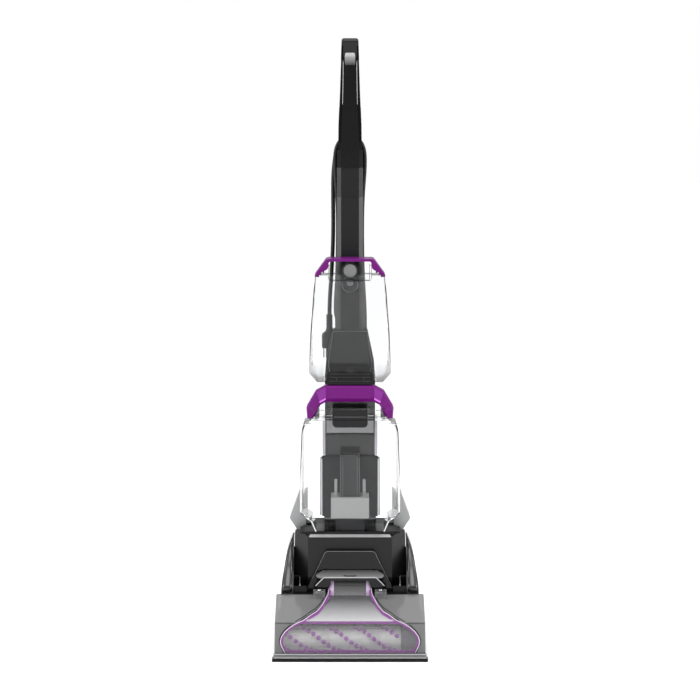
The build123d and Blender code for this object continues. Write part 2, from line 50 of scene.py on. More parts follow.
GRAIN_DEPTH, GRAIN_DETAIL = 0.0004, 4               # fine moulded grain
PATCH_SCALE, PATCH_DETAIL, LEAST_ROUGH = 14, 3, 0.01    # slow change of gloss over a surface
COAT_ROUGH = 0.06
TANK_WALL, TANK_EDGE = (0.97, 0.975, 0.98), (0.10, 0.10, 0.10)
FACE_ON, EDGE_ON = 0.45, 0.97                       # where a clear wall's colour starts and ends deepening
FLANK_IN, FLANK_OUT = 0.043, 0.050                  # the frosting starts this far from the middle, in metres
BLUISH = 1.02                                       # a moulded grey's blue over its red


def new_material(name):
    material = bpy.data.materials.new(name)
    material.use_nodes = True
    tree = material.node_tree
    return material, tree, tree.nodes["Principled BSDF"]


def noise_node(tree, coords, scale, detail):
    noise = tree.nodes.new("ShaderNodeTexNoise")
    noise.inputs["Scale"].default_value = scale
    noise.inputs["Detail"].default_value = detail
    tree.links.new(coords.outputs["Object"], noise.inputs["Vector"])
    return noise.outputs["Fac"]


def map_range(tree, value, from_min=0.0, from_max=1.0, to_min=0.0, to_max=1.0):
    node = tree.nodes.new("ShaderNodeMapRange")
    node.inputs["From Min"].default_value = from_min
    node.inputs["From Max"].default_value = from_max
    node.inputs["To Min"].default_value = to_min
    node.inputs["To Max"].default_value = to_max
    tree.links.new(value, node.inputs["Value"])
    return node.outputs["Result"]


def math_node(tree, operation, *values):
    node = tree.nodes.new("ShaderNodeMath")
    node.operation = operation
    for socket, value in zip(node.inputs, values):
        tree.links.new(value, socket)
    return node.outputs["Value"]


def split_xyz(tree, vector):
    split = tree.nodes.new("ShaderNodeSeparateXYZ")
    tree.links.new(vector, split.inputs["Vector"])
    return split.outputs


def color_ramp(tree, shader, value, low, high):
    """Base colour that runs between two stops, each a position and a colour."""
    ramp = tree.nodes.new("ShaderNodeValToRGB")
    for element, (position, color) in zip(ramp.color_ramp.elements, (low, high)):
        element.position = position
        element.color = (*color, 1)
    tree.links.new(value, ramp.inputs["Fac"])
    tree.links.new(ramp.outputs["Color"], shader.inputs["Base Color"])


def add_grain(tree, shader, scale, bump, rough, spread):
    """Moulded-surface grain: noise drives a fine bump and a small change of roughness."""
    coords = tree.nodes.new("ShaderNodeTexCoord")
    if bump:
        bumper = tree.nodes.new("ShaderNodeBump")
        bumper.inputs["Strength"].default_value = bump
        bumper.inputs["Distance"].default_value = GRAIN_DEPTH
        tree.links.new(noise_node(tree, coords, scale, GRAIN_DETAIL), bumper.inputs["Height"])
        tree.links.new(bumper.outputs["Normal"], shader.inputs["Normal"])
    patches = noise_node(tree, coords, PATCH_SCALE, PATCH_DETAIL)
    gloss = map_range(tree, patches, to_min=max(LEAST_ROUGH, rough - spread), to_max=rough + spread)
    tree.links.new(gloss, shader.inputs["Roughness"])
    return coords


def plastic(name, color, rough=0.3, spread=0.05, scale=900, bump=0.08, specular=0.25, coat=0.0, metallic=0.0):
    material, tree, shader = new_material(name)
    shader.inputs["Base Color"].default_value = (*color, 1)
    shader.inputs["Specular IOR Level"].default_value = specular
    shader.inputs["Metallic"].default_value = metallic
    shader.inputs["Coat Weight"].default_value = coat
    shader.inputs["Coat Roughness"].default_value = COAT_ROUGH
    add_grain(tree, shader, scale, bump, rough, spread)
    return material


def clear_plastic(name, middle, edge, transmission, rough=0.02, ior=1.3, spread=0.01):
    """See-through plastic whose colour deepens where the wall is seen edge on."""
    material, tree, shader = new_material(name)
    shader.inputs["Transmission Weight"].default_value = transmission
    shader.inputs["IOR"].default_value = ior
    add_grain(tree, shader, scale=40, bump=0, rough=rough, spread=spread)
    weight = tree.nodes.new("ShaderNodeLayerWeight")
    color_ramp(tree, shader, weight.outputs["Facing"], (FACE_ON, middle), (EDGE_ON, edge))
    return material


def frosted_band(material, z_low, z_high, rough):
    """Frosts the two sides of a clear wall below a height: rough at z_low, clear from z_high up."""
    tree = material.node_tree
    roughness = tree.nodes["Principled BSDF"].inputs["Roughness"]
    coords = tree.nodes.new("ShaderNodeTexCoord")
    position = split_xyz(tree, coords.outputs["Object"])
    band = map_range(tree, position["Z"], z_low, z_high, rough, 0.0)
    flank = map_range(tree, math_node(tree, "ABSOLUTE", position["X"]), FLANK_IN, FLANK_OUT)
    frost = math_node(tree, "MULTIPLY", band, flank)
    tree.links.new(math_node(tree, "ADD", roughness.links[0].from_socket, frost), roughness)


def graded(name, z_low, z_high, low, high, rough=0.35):
    """Plastic whose grey runs from low to high between two heights, in millimetres."""
    material, tree, shader = new_material(name)
    shader.inputs["Specular IOR Level"].default_value = 0.3
    coords = add_grain(tree, shader, scale=1200, bump=0.1, rough=rough, spread=0.05)
    height = map_range(tree, split_xyz(tree, coords.outputs["Object"])["Z"], z_low * MM, z_high * MM)
    color_ramp(tree, shader, height, (0.0, (low, low, low * BLUISH)), (1.0, (high, high, high * BLUISH)))
    return material


MATERIALS = {
    "black_gloss": plastic("black_gloss", (0.004, 0.004, 0.0045), 0.16, 0.03, 700, 0.03),
    "black_satin": plastic("black_satin", (0.006, 0.006, 0.0065), 0.42, 0.06, 1500, 0.25),
    "charcoal": plastic("charcoal", (0.009, 0.009, 0.0095), 0.30, 0.05, 1300, 0.15),
    "purple": plastic("purple", (0.12, 0.004, 0.135), 0.24, 0.04, 900, 0.05, specular=0.2),
    "purple_soft": plastic("purple_soft", (0.20, 0.025, 0.235), 0.4, 0.05, 900, 0.05),
    "silver": plastic("silver", (0.36, 0.365, 0.37), 0.34, 0.05, 2500, 0.12, metallic=0.35),
    "light_grey": plastic("light_grey", (0.36, 0.37, 0.36), 0.45, 0.05, 1200, 0.15),
    "core_grey": plastic("core_grey", (0.82, 0.84, 0.80), 0.5, 0.05, 1200, 0.15),
    "mid_grey": plastic("mid_grey", (0.14, 0.14, 0.145), 0.4, 0.05, 1200, 0.15),
    "latch_grey": plastic("latch_grey", (0.06, 0.06, 0.065), 0.33, 0.05, 1200, 0.12),
    "rubber": plastic("rubber", (0.008, 0.008, 0.008), 0.62, 0.08, 2200, 0.35),
    "cord": plastic("cord", (0.007, 0.007, 0.007), 0.45, 0.06, 2500, 0.3),
    "bristle": plastic("bristle", (0.33, 0.06, 0.42), 0.5, 0.08, 3000, 0.5),
    "steel": plastic("steel", (0.55, 0.55, 0.57), 0.28, 0.06, 600, 0.05, metallic=1.0),
    "smoke": clear_plastic("smoke", (0.25, 0.25, 0.255), (0.08, 0.08, 0.08), 0.45, 0.08, 1.35, 0.03),
    "clear": clear_plastic("clear", TANK_WALL, TANK_EDGE, 1.0),
    "clear_tank": clear_plastic("clear_tank", TANK_WALL, TANK_EDGE, 1.0),
    "lens_clear": plastic("lens_clear", (0.30, 0.29, 0.31), 0.08, 0.03, 900, 0.02, specular=0.5),
    "handle_black": plastic("handle_black", (0.005, 0.005, 0.0055), 0.38, 0.05, 1300, 0.12, specular=0.1),
    # Painted light: a lighter purple for the bail's lit side facets, and a pink painted highlight for its
    # glints.
    "purple_lit_facet": plastic("purple_lit_facet", (0.18, 0.02, 0.22), 0.24, 0.04, 900, 0.05),
    "purple_glint": plastic("purple_glint", (0.72, 0.20, 0.78), 0.24, 0.04, 900, 0.05),
    "stack_grey": plastic("stack_grey", (0.035, 0.035, 0.037), 0.4, 0.05, 1200, 0.1),
    "well_grey": plastic("well_grey", (0.014, 0.014, 0.015), 0.45, 0.05, 1200, 0.1),
    # Painted highlight: light grey for the bright lines along lit edges and chamfers.
    "edge_highlight_grey": plastic("edge_highlight_grey", (0.48, 0.48, 0.49), 0.3, 0.05, 900, 0.05, specular=0.4),
    "arm_gloss": plastic("arm_gloss", (0.006, 0.006, 0.0065), 0.2, 0.03, 700, 0.02, specular=0.5, coat=0.25),
    # Painted light: the latch plate's grey is lighter at its low front edge and darker towards the back.
    "latch_top": graded("latch_top", 126, 134, 0.15, 0.03),
    # Painted shade: the channel wall and the neck run from a lighter grey below to near black at the top,
    # under the cover and the latch plate.
    "channel": graded("channel", 66, 92, 0.45, 0.035),
    "neck": graded("neck", 93, 118, 0.13, 0.02),
    # Painted highlight: the top of the handle's front arm turns light grey upwards, a painted reflection of
    # the light above.
    "grip_highlight": graded("grip_highlight", 1030, 1050, 0.015, 0.30),
    # Light grey for the painted highlight lines on the spine cover and mount block, and for the mount ring.
    "edge_light": plastic("edge_light", (0.22, 0.22, 0.225), 0.3, 0.05, 900, 0.05, specular=0.5),
    "edge_dark": plastic("edge_dark", (0.03, 0.03, 0.032), 0.3, 0.05, 900, 0.05),
    # Painted highlight: near white for the lit rim of the nozzle lens.
    "rim_highlight": plastic("rim_highlight", (0.75, 0.72, 0.76), 0.2, 0.05, 900, 0.03, specular=0.5),
    "lilac": plastic("lilac", (0.55, 0.42, 0.60), 0.3, 0.05, 900, 0.05),
    "rail_grey": plastic("rail_grey", (0.50, 0.48, 0.51), 0.4, 0.05, 900, 0.05),
    "frosted": clear_plastic("frosted", (0.42, 0.42, 0.425), (0.3, 0.3, 0.3), 0.35, 0.3, 1.3, 0.05),
}
frosted_band(MATERIALS["clear_tank"], z_low=0.500, z_high=0.507, rough=0.35)
LENS_VEIL = 0.11        # share of the light that the lens itself gives
MATERIALS["lens_clear"].node_tree.nodes["Principled BSDF"].inputs["Alpha"].default_value = LENS_VEIL

NODE_MATERIAL = {
    "black_gloss": "fender_left fender_right spine_cover collar lid_latch brush_housing lower_hook",
    "black_satin": "foot_pan base_plate motor_cover column tank_seat stem_upper recline_pedal pump "
                   "power_switch cord_hook_tab fill_cap push_rod lower_body",
    "charcoal": "hood stem_lower",
    "handle_black": "handle_loop",
    "purple": "tank_bail clean_tank_handle trigger",
    "purple_soft": "nozzle_seal",
    "silver": "wing_left wing_right",
    "light_grey": "tank_float valve_plunger release_button spray_bar",
    "core_grey": "brush_core",
    "mid_grey": "belt_cover brush_pulley wheel_left wheel_right impeller",
    "stack_grey": "inlet_stack",
    "latch_grey": "nozzle_latch",
    "rubber": "drive_belt tyre_left tyre_right handle_grip",
    "cord": "cord_lead cord_winding cord_tail cord_plug",
    "bristle": "brush_bristles",
    "steel": "wheel_axle base_screws brush_motor_shaft brush_motor suction_motor",
    "smoke": "nozzle_window",
    "clear": "dirty_tank_shell tank_lid",
    "clear_tank": "clean_tank_shell",
    "lens_clear": "nozzle_lens",
}

# Edge rounding of each shown frame part, in millimetres.
BEVEL = {"hood": 2.0, "tank_bail": 2.2, "clean_tank_handle": 1.6, "handle_loop": 4.0, "handle_grip": 2.0,
         "fender_left": 5.0, "fender_right": 5.0, "collar": 1.6, "stem_lower": 1.0, "stem_upper": 1.0,
         "spine_cover": 1.6, "nozzle_latch": 1.2, "wing_left": 4.0, "wing_right": 4.0, "motor_cover": 4.0,
         "column": 2.0, "tank_seat": 1.5, "tank_lid": 1.2, "lid_latch": 1.0, "recline_pedal": 1.5,
         "wheel_left": 1.0, "wheel_right": 1.0, "tyre_left": 1.5, "tyre_right": 1.5, "foot_pan": 1.5,
         "lower_body": 1.5, "nozzle_window": 0.8, "dirty_tank_shell": 0.9, "clean_tank_shell": 0.9,
         "tank_float": 3.0, "inlet_stack": 0.7, "cord_hook_tab": 1.5, "lower_hook": 1.5, "brush_housing": 1.0,
         "trigger": 1.5, "release_button": 0.8, "power_switch": 0.8, "fill_cap": 0.8}


def add_bevel(piece, width, angle=20):
    """Rounds every edge sharper than an angle in degrees, to a width in millimetres."""
    bevel = piece.modifiers.new("edge", "BEVEL")
    bevel.width = width * MM
    bevel.segments = 3
    bevel.limit_method = "ANGLE"
    bevel.angle_limit = radians(angle)
    bevel.harden_normals = True
    return bevel


def dress_node(name, slot):
    node = NODES[name]
    node.data.materials.clear()
    node.data.materials.append(MATERIALS[slot])
    if name in BEVEL:
        add_bevel(node, BEVEL[name], angle=24).miter_outer = "MITER_ARC"


for slot_name, names in NODE_MATERIAL.items():
    for node_name in names.split():
        dress_node(node_name, slot_name)


# ---------------------------------------------------------------- building helpers

def add_piece(name, data, body, material):
    piece = bpy.data.objects.new(name, data)
    bpy.context.scene.collection.objects.link(piece)
    piece.data.materials.append(MATERIALS[material])
    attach(piece, body)
    return piece


def finish_mesh(name, bm, smooth):
    mesh = bpy.data.meshes.new(name)
    bmesh.ops.recalc_face_normals(bm, faces=bm.faces)
    bm.to_mesh(mesh)
    bm.free()
    for polygon in mesh.polygons:
        polygon.use_smooth = smooth
    return mesh


def add_solid(name, bm, body, material, smooth=False):
    return add_piece(name, finish_mesh(name, bm, smooth), body, material)


def circle(count):
    """Points (a, b) of a circle of radius 1 about the origin."""
    return [(cos(2 * pi * k / count), sin(2 * pi * k / count)) for k in range(count)]


def loft(bm, rings, close_ends=True):
    """Skins a list of rings, each a list of points in order."""
    loops = [[bm.verts.new(p) for p in ring] for ring in rings]
    count = len(loops[0])
    for low, high in zip(loops, loops[1:]):
        for i in range(count):
            j = (i + 1) % count
            bm.faces.new((low[i], low[j], high[j], high[i]))
    if close_ends:
        bm.faces.new(loops[0][::-1])
        bm.faces.new(loops[-1])


def mm(*values):
    return Vector([v * MM for v in values])


def arc_points(centre, radius, first, last, steps):
    """Points of an (a, b) arc from one angle to another, both in degrees."""
    return [(centre[0] + radius * cos(radians(first + (last - first) * k / steps)),
             centre[1] + radius * sin(radians(first + (last - first) * k / steps))) for k in range(steps + 1)]


def tube(bm, points, radius, sides=8, closed=False):
    """Round bead along a list of points."""
    count = len(points)
    rings, across = [], None
    for i, point in enumerate(points):
        before = points[i - 1] if i or closed else point
        after = points[(i + 1) % count] if i < count - 1 or closed else point
        along = (after - before).normalized()
        if across is None:
            across = along.orthogonal().normalized()
        across = (across - along * across.dot(along)).normalized()
        other = along.cross(across)
        rings.append([point + (across * a + other * b) * radius for a, b in circle(sides)])
    if closed:
        rings.append(rings[0])
    loft(bm, rings, close_ends=not closed)


def add_lines(name, lines, radius, body, material, closed=False):
    """Fine beads such as seams, ribs and lit edges, in millimetres."""
    bm = bmesh.new()
    for line in lines:
        tube(bm, [mm(*point) for point in line], radius * MM, closed=closed)
    return add_solid(name, bm, body, material, smooth=True)


def slab(bm, ring_a, ring_b):
    """Solid between two matching outlines, in millimetres."""
    loft(bm, [[mm(*p) for p in ring_a], [mm(*p) for p in ring_b]])


def front_slab(bm, outline, y_front, y_back):
    slab(bm, [(x, y_front, z) for x, z in outline], [(x, y_back, z) for x, z in outline])


def mirrored(half):
    """An outline of one side, followed by its mirror image."""
    return list(half) + [(-x, z) for x, z in reversed(half)]


def across_middle(half):
    """A line from the left end of a right-hand half, given outside in, over to its right end."""
    return [(-x, y, z) for x, y, z in half] + list(reversed(half))


def rounded_ring(cx, cy, z, half_x, half_y, corner, steps=5):
    """Rounded rectangle in a level plane, counter-clockwise seen from above."""
    ring = []
    for sx, sy, start in ((1, 1, 0), (-1, 1, 90), (-1, -1, 180), (1, -1, 270)):
        for k in range(steps + 1):
            angle = radians(start + 90 * k / steps)
            ring.append(Vector((cx + sx * (half_x - corner) + corner * cos(angle),
                                cy + sy * (half_y - corner) + corner * sin(angle), z)))
    return ring


# ---------------------------------------------------------------- camera, floor and light

CAMERA_AT, CAMERA_AIM, LENS, SENSOR = (0, -4.0, 0.90), (0, 0, 0.5254), 115.8, 36
FLOOR_SIZE, FLOOR_DROP = 80, 0.0005
SKY_LOW, SKY_HIGH, SKY_TOP_Z = 0.35, 1.32, 0.8      # light from the horizon and overhead, full from here up
SOFTBOX_AIM = (0, 0, 0.5)


def softbox(name, location, size_x, size_y, power):
    """Rectangular area light aimed at the middle of the machine."""
    light_data = bpy.data.lights.new(name, "AREA")
    light_data.shape = "RECTANGLE"
    light_data.size = size_x
    light_data.size_y = size_y
    light_data.energy = power
    light = bpy.data.objects.new(name, light_data)
    light.location = location
    aim = Vector(SOFTBOX_AIM) - light.location
    light.rotation_euler = aim.to_track_quat("-Z", "Y").to_euler()
    bpy.context.scene.collection.objects.link(light)


def set_camera():
    camera_data = bpy.data.cameras.new("camera")
    camera = bpy.data.objects.new("camera", camera_data)
    bpy.context.scene.collection.objects.link(camera)
    camera.location = CAMERA_AT
    camera.rotation_euler = (Vector(CAMERA_AIM) - camera.location).to_track_quat("-Z", "Y").to_euler()
    camera_data.lens = LENS
    camera_data.sensor_width = SENSOR
    bpy.context.scene.camera = camera


def set_floor():
    bpy.ops.mesh.primitive_plane_add(size=FLOOR_SIZE, location=(0, 0, -FLOOR_DROP))
    floor = bpy.context.object
    floor.name = "floor"
    material, tree, shader = new_material("floor")
    shader.inputs["Base Color"].default_value = (0.95, 0.95, 0.95, 1)
    shader.inputs["Roughness"].default_value = 0.7
    shader.inputs["Specular IOR Level"].default_value = 0.1
    floor.data.materials.append(material)


def set_light():
    """Sky that lights more from above and looks plain white, and three softboxes."""
    world = bpy.data.worlds.new("world")
    bpy.context.scene.world = world
    world.use_nodes = True
    tree = world.node_tree
    background = tree.nodes["Background"]
    background.inputs["Color"].default_value = (1, 1, 1, 1)
    coords = tree.nodes.new("ShaderNodeTexCoord")
    height = split_xyz(tree, coords.outputs["Generated"])["Z"]
    sky = map_range(tree, height, 0.0, SKY_TOP_Z, SKY_LOW, SKY_HIGH)
    path = tree.nodes.new("ShaderNodeLightPath")
    seen = math_node(tree, "MAXIMUM", path.outputs["Is Camera Ray"], path.outputs["Is Transmission Ray"])
    blend = tree.nodes.new("ShaderNodeMix")
    tree.links.new(seen, blend.inputs["Factor"])
    tree.links.new(sky, blend.inputs["A"])
    blend.inputs["B"].default_value = 1.0
    tree.links.new(blend.outputs["Result"], background.inputs["Strength"])

    softbox("softbox_left", (-2.4, -0.5, 1.2), 0.9, 2.0, 44)
    softbox("softbox_right", (2.4, -0.5, 1.2), 0.9, 2.0, 44)
    softbox("softbox_top", (0, -1.0, 2.8), 1.6, 1.2, 24)
    bpy.context.scene.view_settings.view_transform = "Standard"


set_camera()
set_floor()
set_light()


# ---------------------------------------------------------------- mains cord

CORD_D, WIND_R = 7.5 * MM, 27 * MM
HOOK_TOP, HOOK_LOW = 875 * MM, 585 * MM
GLAND = (27 * MM, 92 * MM, 484 * MM)
WIND_FIRST, WIND_LAST, TURNS = 89.0 * MM, 144.6 * MM, 7     # depth of the first and last turn
LAST_TURN_STEPS = 8         # the tail leaves the last turn at the upper left
TOP_R = 29 * MM
CORNER_CUT = 0.968          # share of the radius that the smooth curve keeps inside its corner points
HALF_TURN = 5               # steps of a half turn round a hook
SIDE_RUN = [(27, 590), (22.5, 660), (21.5, 780), (28.2, 862)]    # the turns draw in between the hooks
PLUG_Y = 98


def cord_points():
    """Up out of the gland, round and round the two hooks, then down the left side to the plug."""
    points = [GLAND, (27 * MM, 92 * MM, 512 * MM), (27 * MM, 90 * MM, 548 * MM)]
    over = arc_points((0, HOOK_TOP), TOP_R, 0, 180, HALF_TURN)[1:-1]
    under = arc_points((0, HOOK_LOW), WIND_R / CORNER_CUT, 180, 360, HALF_TURN)[1:-1]
    steps = ([(x * MM, z * MM) for x, z in SIDE_RUN] + over +
             [(-x * MM, z * MM) for x, z in reversed(SIDE_RUN)] + under)
    total = len(steps) * TURNS + LAST_TURN_STEPS
    for i in range(total + 1):
        x, z = steps[i % len(steps)]
        y = WIND_FIRST + (WIND_LAST - WIND_FIRST) * i / total
        points.append((x, y, z))
    tail = [(-31, 143.5, 835), (-31, 135, 792), (-30.4, 119, 722), (-34, 102, 650), (-37.2, PLUG_Y, 606),
            (-37.4, PLUG_Y, 581.8)]
    return points + [(x * MM, y * MM, z * MM) for x, y, z in tail]


def make_cord():
    points = cord_points()
    curve = bpy.data.curves.new("mains_cord", "CURVE")
    curve.dimensions = "3D"
    spline = curve.splines.new("NURBS")
    spline.points.add(len(points) - 1)
    for spot, point in zip(spline.points, points):
        spot.co = (*point, 1)
    spline.order_u = 3
    spline.use_endpoint_u = True
    spline.resolution_u = 6
    curve.bevel_depth = CORD_D / 2
    curve.bevel_resolution = 3
    curve.use_fill_caps = True
    piece = add_piece("mains_cord", curve, "upright", "cord")
    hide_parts("cord_lead", "cord_winding", "cord_tail")
    make_plug()
    make_strain_relief()


def make_strain_relief():
    """Ribbed sleeve, tapering up the cord from the gland."""
    x, y, z = GLAND
    bm = bmesh.new()
    rings = [(0, 6.0), (2, 7.0), (4, 7.0)]
    for k in range(6):
        wide, height = 6.6 - 0.38 * k, 5 + 5 * k
        rings += [(height, wide - 1.1), (height + 1.2, wide - 1.1), (height + 1.6, wide),
                  (height + 4.4, wide - 0.1)]
    rings += [(35.4, 4.2)]
    loft(bm, [[Vector((x + wide * MM * a, y + wide * MM * b, z + up * MM)) for a, b in circle(20)]
              for up, wide in rings])
    return add_solid("strain_relief", bm, "upright", "cord")


def make_plug():
    """Three-pin plug hanging blades down: ribbed neck at the inner side, then a wider grip."""
    bm = bmesh.new()
    sections = [(581.6, -37.6, 5.4, 4.6), (576, -37.6, 5.9, 4.8), (575, -37.6, 5.2, 4.4),
                (570, -37.5, 6.0, 5), (569, -37.5, 5.3, 4.8), (563, -37.5, 6.1, 5), (562, -37.5, 5.4, 4.8),
                (554, -37.6, 6.2, 5), (551, -38.4, 6.8, 5), (547, -41.4, 8.9, 5), (543, -42, 9.3, 5),
                (524, -42, 9.3, 5), (520, -42, 8.5, 4.6)]
    loft(bm, [rounded_ring(x * MM, PLUG_Y * MM, z * MM, a * MM, max(a, 5.4) * 0.95 * MM, min(c, a * 0.9) * MM)
              for z, x, a, c in sections])
    for x in (-47.8, -35.8):
        loft(bm, [rounded_ring(x * MM, 100 * MM, z * MM, w * MM, d * MM, 0.3 * MM, 2)
                  for z, w, d in ((520.5, 0.85, 3), (504, 0.85, 3), (502.5, 0.5, 2.4))])
    loft(bm, [rounded_ring(-41.6 * MM, 92.6 * MM, z * MM, r * MM, r * MM, r * 0.99 * MM, 3)
              for z, r in ((520.5, 2.4), (503, 2.4), (501, 1.2))])
    piece = add_solid("plug", bm, "upright", "cord", smooth=True)
    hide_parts("cord_plug")
    return piece


make_cord()


# ---------------------------------------------------------------- brush

def make_bristles():
    """Tufts in four helical rows on the brush core."""
    low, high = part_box("brush_core")
    axis_y, axis_z = (low[1] + high[1]) / 2, (low[2] + high[2]) / 2
    core_r, tip_r, pitch, starts = 19.6 * MM, 25.6 * MM, 188 * MM, 4
    x_low, x_high, step = -112 * MM, 86 * MM, 8.8 * MM
    sideways = Vector((1, 0, 0))
    bm = bmesh.new()
    count = int((x_high - x_low) / step)
    for start in range(starts):
        for i in range(count + 1):
            x = x_low + step * i + (start % 2) * step / 2
            if x > x_high:
                continue
            angle = 2 * pi * (start / starts + x / pitch)
            outward = Vector((0, cos(angle), sin(angle)))
            across = Vector((0, -sin(angle), cos(angle)))
            base = Vector((x, axis_y, axis_z))
            rings = []
            for radius, reach in ((2.9, core_r), (3.1, core_r + 2 * MM), (4.1, tip_r - 0.8 * MM),
                                  (3.7, tip_r)):
                centre = base + outward * reach
                rings.append([centre + (sideways * a + across * b) * radius * MM for a, b in circle(8)])
            loft(bm, rings)
    piece = add_solid("bristle_tufts", bm, "brush_roll", "bristle", smooth=True)
    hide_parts("brush_bristles")


make_bristles()


def make_brush_chamber_painted_light():
    """Painted light: pale panels that brighten the brush chamber, on its roof, its rear wall and its left
    end.
    """
    bm = bmesh.new()
    roof = [(-140.2, 53.5), (-97.2, 69), (-97.2, 69.8), (-140.2, 54)]
    rear = [(-97.3, 9), (-96.2, 9), (-96.2, 69), (-97.3, 69)]
    end = [(-139, 50), (-98, 65), (-98, 10), (-139, 10)]
    for x0, x1, profile in ((-120.5, 87, roof), (-120.5, 87, rear), (117.5, 120.5, roof),
                            (117.5, 120.5, rear), (-120.9, -120.1, end)):
        slab(bm, [(x0, y, z) for y, z in profile], [(x1, y, z) for y, z in profile])
    add_solid("brush_chamber_painted_light", bm, "foot", "core_grey")


make_brush_chamber_painted_light()


# ---------------------------------------------------------------- suction foot

COVER_FRONT = [(-164, 14), (-145, 62), (-55, 94)]
LENS_OUTER = [(-170, 14), (-151, 66), (-62, 100), (-45, 107)]
SCREW_X, SCREW_Y, RING_X, RING_Z = 54.4, -64.5, 44, 38


def height_to_depth(line, z):
    """The y of a (y, z) side line at height z."""
    for (y0, z0), (y1, z1) in zip(line, line[1:]):
        if z <= z1:
            return y0 + (y1 - y0) * (z - z0) / (z1 - z0)
    return line[-1][0]


def make_latch():
    """Sloping latch plate with a lit front edge over a dark skirt: the plate's grey is painted lighter
    towards that edge, and the edge carries a painted highlight bead.
    """
    bm = bmesh.new()
    top = [(-48.4, -31.5, 134), (48.4, -31.5, 134), (60.5, -47, 128), (57, -54, 126), (46, -58, 125.5),
           (-46, -58, 125.5), (-57, -54, 126), (-60.5, -47, 128)]
    slab(bm, top, [(x, y + 0.6, z - 3.2) for x, y, z in top])
    piece = add_solid("latch_plate", bm, "nozzle_latch", "latch_top")
    add_bevel(piece, 0.9)
    bm = bmesh.new()
    skirt_line = mirrored([(46, 124), (60.5, 110.5), (58, 106.5), (37, 107.5), (34, 118.5)])
    slab(bm, [(x, -57, z) for x, z in skirt_line], [(x, -50, z + 1) for x, z in skirt_line])
    tube(bm, [mm(-44, -31.5, 130.5), mm(44, -31.5, 130.5)], 2.8 * MM, sides=16)
    add_solid("latch_skirt", bm, "nozzle_latch", "black_gloss")
    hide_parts("nozzle_latch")
    edge = [(60.8, -57.4, 109.6), (60.2, -57.5, 111), (47, -58.2, 124.4), (45, -58.3, 125.2)]
    add_lines("latch_edge_highlight", [across_middle(edge)], 0.8, "nozzle_latch", "edge_highlight_grey")
    slot_line = [(11, -52.5, 126.9), (7, -53.4, 126.6)]
    add_lines("latch_slot", [across_middle(slot_line)], 1.3, "nozzle_latch", "black_gloss")


RIM_HALF = [(37, 108.5), (39.2, 97), (48.8, 84.6), (58, 77.5), (68.6, 73.2), (80, 67.6), (93.4, 62.6),
            (104, 56.5), (112.6, 49.4), (118, 42), (120.6, 35), (119.4, 27), (113, 15)]


def inset_line(line, distance):
    """Moves a right-hand (x, z) outline inwards, square to itself."""
    moved = []
    for i, (x, z) in enumerate(line):
        x0, z0 = line[max(i - 1, 0)]
        x1, z1 = line[min(i + 1, len(line) - 1)]
        run = Vector((x1 - x0, z1 - z0)).normalized()
        moved.append((x + run.y * distance, z - run.x * distance))
    return moved


def make_seal():
    """Coloured gasket: a band under the rim of the lens and two cross ribs."""
    bm = bmesh.new()
    outer, inner = inset_line(RIM_HALF, 0.6), inset_line(RIM_HALF, 4.2)
    for s in (-1, 1):
        rings = []
        for (xa, za), (xb, zb) in zip(outer, inner):
            ya, yb = height_to_depth(LENS_OUTER, za), height_to_depth(LENS_OUTER, zb)
            rings.append([mm(s * xa, ya + 2.8, za), mm(s * xb, yb + 2.8, zb), mm(s * xb, yb + 4.8, zb),
                          mm(s * xa, ya + 4.8, za)])
        loft(bm, rings)
    front_slab(bm, mirrored([(88, 65.2), (93, 60.8)]), -146.6, -143)
    front_slab(bm, mirrored([(113, 18.2), (112, 14.4)]), -165, -161)
    piece = add_solid("seal_band", bm, "nozzle_cover", "purple_soft")
    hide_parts("nozzle_seal")


def make_channel():
    """Back wall of the suction channel and the neck that rises under the latch, both painted darker towards
    the top as painted shade.
    """
    half = [(28.5, 93), (34, 90.2), (43, 84), (53, 77), (64, 71.6), (76, 66.8), (84, 65)]
    wall = [(x, height_to_depth(LENS_OUTER, z) + 5.2, z) for x, z in mirrored(half)]
    bm = bmesh.new()
    slab(bm, wall, [(x, y + 1, z - 0.4) for x, y, z in wall])
    add_solid("channel_wall", bm, "nozzle_cover", "channel")
    bm = bmesh.new()
    neck = [(28.5, -51.5, 118.5), (28.5, -62, 94), (-28.5, -62, 94), (-28.5, -51.5, 118.5)]
    slab(bm, neck, [(x, y + 1.5, z) for x, y, z in neck])
    add_solid("neck_front", bm, "nozzle_cover", "neck")
    bm = bmesh.new()
    for s in (-1, 1):
        side = [(s * x, y, z) for x, y, z in ((28.7, -51.4, 118.5), (33.5, -49.5, 118.5), (39, -57.5, 93.5),
                                              (28.7, -62, 93))]
        slab(bm, side, [(x, y + 1.2, z) for x, y, z in side])
    add_solid("neck_walls", bm, "nozzle_cover", "lilac")
    add_lines("neck_line", [across_middle([(33, -51, 119.2)])], 0.7, "nozzle_cover", "purple_soft")
    add_lines("neck_fold", [across_middle([(29, -62.4, 93.4)]), across_middle([(28.6, -55.2, 110)])], 0.4,
              "nozzle_cover", "edge_dark")


